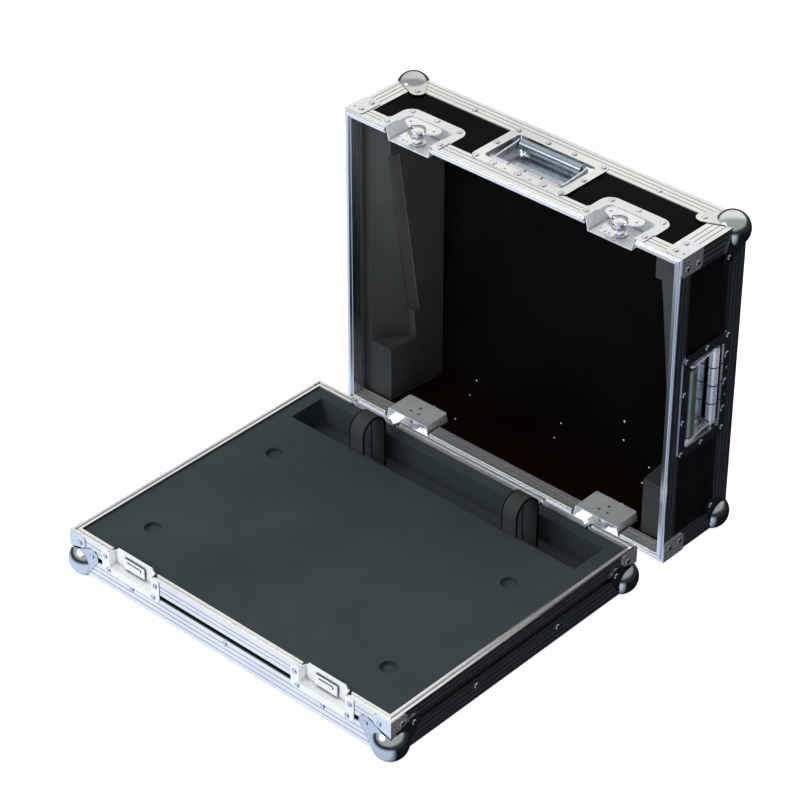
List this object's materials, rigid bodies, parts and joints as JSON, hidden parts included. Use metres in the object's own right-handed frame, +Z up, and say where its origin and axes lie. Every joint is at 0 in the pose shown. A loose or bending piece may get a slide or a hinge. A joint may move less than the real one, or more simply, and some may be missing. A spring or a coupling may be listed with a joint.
{
  "type": "flight case",
  "caption": "Shallow foam-lined tray and deep lift-off lid with metal edge rails, ball corners, recessed turn latches and spring handles",
  "frame": {"origin": "centre of the overall footprint, on the floor", "axes": "+X along the case's front towards its right side, +Y from the tray's front towards the standing lid, +Z up"},
  "size_m": [0.624, 0.7234, 0.519],
  "materials": {
    "foam": "matte open foam",
    "webbing": "woven",
    "laminate": "hammered satin laminate on plywood",
    "rail_aluminium": "satin extruded",
    "grip": "satin",
    "rivet_steel": "plated",
    "zinc_steel": "zinc plated"
  },
  "bodies": {
    "tray": {"tray_floor_panel": "laminate", "tray_front_wall": "laminate", "tray_rear_wall": "laminate", "tray_left_wall": "laminate", "tray_right_wall": "laminate", "tray_rim_front": "rail_aluminium", "tray_rim_rear": "rail_aluminium", "tray_rim_sides": "rail_aluminium", "tray_edge_front": "rail_aluminium", "tray_edge_rear": "rail_aluminium", "tray_edge_sides": "rail_aluminium", "tray_corner_braces": "zinc_steel", "tray_ball_corners": "zinc_steel", "keeper_dishes": "zinc_steel", "keepers": "zinc_steel", "tray_rivets": "rivet_steel", "console_foam": "foam", "strap_left": "webbing", "strap_right": "webbing"},
    "lid_carrier": {"tray_rear_ball_caps": "zinc_steel"},
    "lid": {"lid_top_panel": "laminate", "lid_front_wall": "laminate", "lid_rear_wall": "laminate", "lid_left_wall": "laminate", "lid_right_wall": "laminate", "lid_rim_front": "rail_aluminium", "lid_rim_rear": "rail_aluminium", "lid_rim_sides": "rail_aluminium", "lid_edge_front": "rail_aluminium", "lid_edge_rear": "rail_aluminium", "lid_edge_sides": "rail_aluminium", "lid_corner_angles": "rail_aluminium", "lid_corner_braces": "zinc_steel", "lid_ball_corners": "zinc_steel", "latch_dishes": "zinc_steel", "handle_dishes": "zinc_steel", "handle_spindles": "zinc_steel", "lid_foam_left": "foam", "lid_foam_right": "foam", "lid_rivets": "rivet_steel"},
    "latch_hook_front_left": {"latch_hook_front_left": "zinc_steel"},
    "latch_turner_front_left": {"latch_turner_front_left": "zinc_steel"},
    "latch_wing_front_left": {"latch_wing_front_left": "zinc_steel"},
    "latch_hook_front_right": {"latch_hook_front_right": "zinc_steel"},
    "latch_turner_front_right": {"latch_turner_front_right": "zinc_steel"},
    "latch_wing_front_right": {"latch_wing_front_right": "zinc_steel"},
    "latch_hook_rear_right": {"latch_hook_rear_right": "zinc_steel"},
    "latch_turner_rear_right": {"latch_turner_rear_right": "zinc_steel"},
    "latch_wing_rear_right": {"latch_wing_rear_right": "zinc_steel"},
    "latch_hook_rear_left": {"latch_hook_rear_left": "zinc_steel"},
    "latch_turner_rear_left": {"latch_turner_rear_left": "zinc_steel"},
    "latch_wing_rear_left": {"latch_wing_rear_left": "zinc_steel"},
    "handle_front": {"handle_bail_front": "zinc_steel", "handle_grip_front": "grip"},
    "handle_left": {"handle_bail_left": "zinc_steel", "handle_grip_left": "grip"},
    "handle_right": {"handle_bail_right": "zinc_steel", "handle_grip_right": "grip"}
  },
  "joints": [
    {"name": "lid_tip", "type": "hinge", "parent": "tray", "child": "lid_carrier", "pos_m": [0, 0.13125, 0.026], "axis": [1, 0, 0], "range_deg": [0, 90]},
    {"name": "lid_lower", "type": "slide", "parent": "lid_carrier", "child": "lid", "axis": [0, -1, 0], "range_m": [0, 0.0267]},
    {"name": "turn_front_left", "type": "hinge", "parent": "lid", "child": "latch_turner_front_left", "pos_m": [-0.18, 0.22825, 0.507], "axis": [0, 0, 1], "range_deg": [0, 180]},
    {"name": "wing_front_left", "type": "hinge", "parent": "latch_turner_front_left", "child": "latch_wing_front_left", "pos_m": [-0.18, 0.22825, 0.5096], "axis": [1, 0, 0], "range_deg": [0, 90], "stiffness_Nm_per_rad": 0.02, "springref_deg": -28.65},
    {"name": "hook_front_left", "type": "slide", "parent": "lid", "child": "latch_hook_front_left", "axis": [0, 1, 0], "range_m": [0, 0.006]},
    {"name": "turn_front_right", "type": "hinge", "parent": "lid", "child": "latch_turner_front_right", "pos_m": [0.18, 0.22825, 0.507], "axis": [0, 0, 1], "range_deg": [0, 180]},
    {"name": "wing_front_right", "type": "hinge", "parent": "latch_turner_front_right", "child": "latch_wing_front_right", "pos_m": [0.18, 0.22825, 0.5096], "axis": [1, 0, 0], "range_deg": [0, 90], "stiffness_Nm_per_rad": 0.02, "springref_deg": -28.65},
    {"name": "hook_front_right", "type": "slide", "parent": "lid", "child": "latch_hook_front_right", "axis": [0, 1, 0], "range_m": [0, 0.006]},
    {"name": "turn_rear_right", "type": "hinge", "parent": "lid", "child": "latch_turner_rear_right", "pos_m": [0.18, 0.22825, 0.012], "axis": [0, 0, -1], "range_deg": [0, 180]},
    {"name": "wing_rear_right", "type": "hinge", "parent": "latch_turner_rear_right", "child": "latch_wing_rear_right", "pos_m": [0.18, 0.22825, 0.0094], "axis": [-1, 0, 0], "range_deg": [0, 90], "stiffness_Nm_per_rad": 0.02, "springref_deg": -28.65},
    {"name": "hook_rear_right", "type": "slide", "parent": "lid", "child": "latch_hook_rear_right", "axis": [0, 1, 0], "range_m": [0, 0.006]},
    {"name": "turn_rear_left", "type": "hinge", "parent": "lid", "child": "latch_turner_rear_left", "pos_m": [-0.18, 0.22825, 0.012], "axis": [0, 0, -1], "range_deg": [0, 180]},
    {"name": "wing_rear_left", "type": "hinge", "parent": "latch_turner_rear_left", "child": "latch_wing_rear_left", "pos_m": [-0.18, 0.22825, 0.0094], "axis": [-1, 0, 0], "range_deg": [0, 90], "stiffness_Nm_per_rad": 0.02, "springref_deg": -28.65},
    {"name": "hook_rear_left", "type": "slide", "parent": "lid", "child": "latch_hook_rear_left", "axis": [0, 1, 0], "range_m": [0, 0.006]},
    {"name": "handle_front", "type": "hinge", "parent": "lid", "child": "handle_front", "pos_m": [0, 0.24825, 0.499], "axis": [1, 0, 0], "range_deg": [0, 90], "stiffness_Nm_per_rad": 0.3, "springref_deg": -57.3},
    {"name": "handle_left", "type": "hinge", "parent": "lid", "child": "handle_left", "pos_m": [-0.292, 0.30725, 0.2595], "axis": [0, 0, -1], "range_deg": [0, 90], "stiffness_Nm_per_rad": 0.3, "springref_deg": -57.3},
    {"name": "handle_right", "type": "hinge", "parent": "lid", "child": "handle_right", "pos_m": [0.292, 0.30725, 0.2595], "axis": [0, 0, 1], "range_deg": [0, 90], "stiffness_Nm_per_rad": 0.3, "springref_deg": -57.3}
  ],
  "couplings": [
    {"joint": "hook_front_left", "follows": "turn_front_left", "m_per_rad": 0.0019099},
    {"joint": "hook_front_right", "follows": "turn_front_right", "m_per_rad": 0.0019099},
    {"joint": "hook_rear_right", "follows": "turn_rear_right", "m_per_rad": 0.0019099},
    {"joint": "hook_rear_left", "follows": "turn_rear_left", "m_per_rad": 0.0019099}
  ]
}
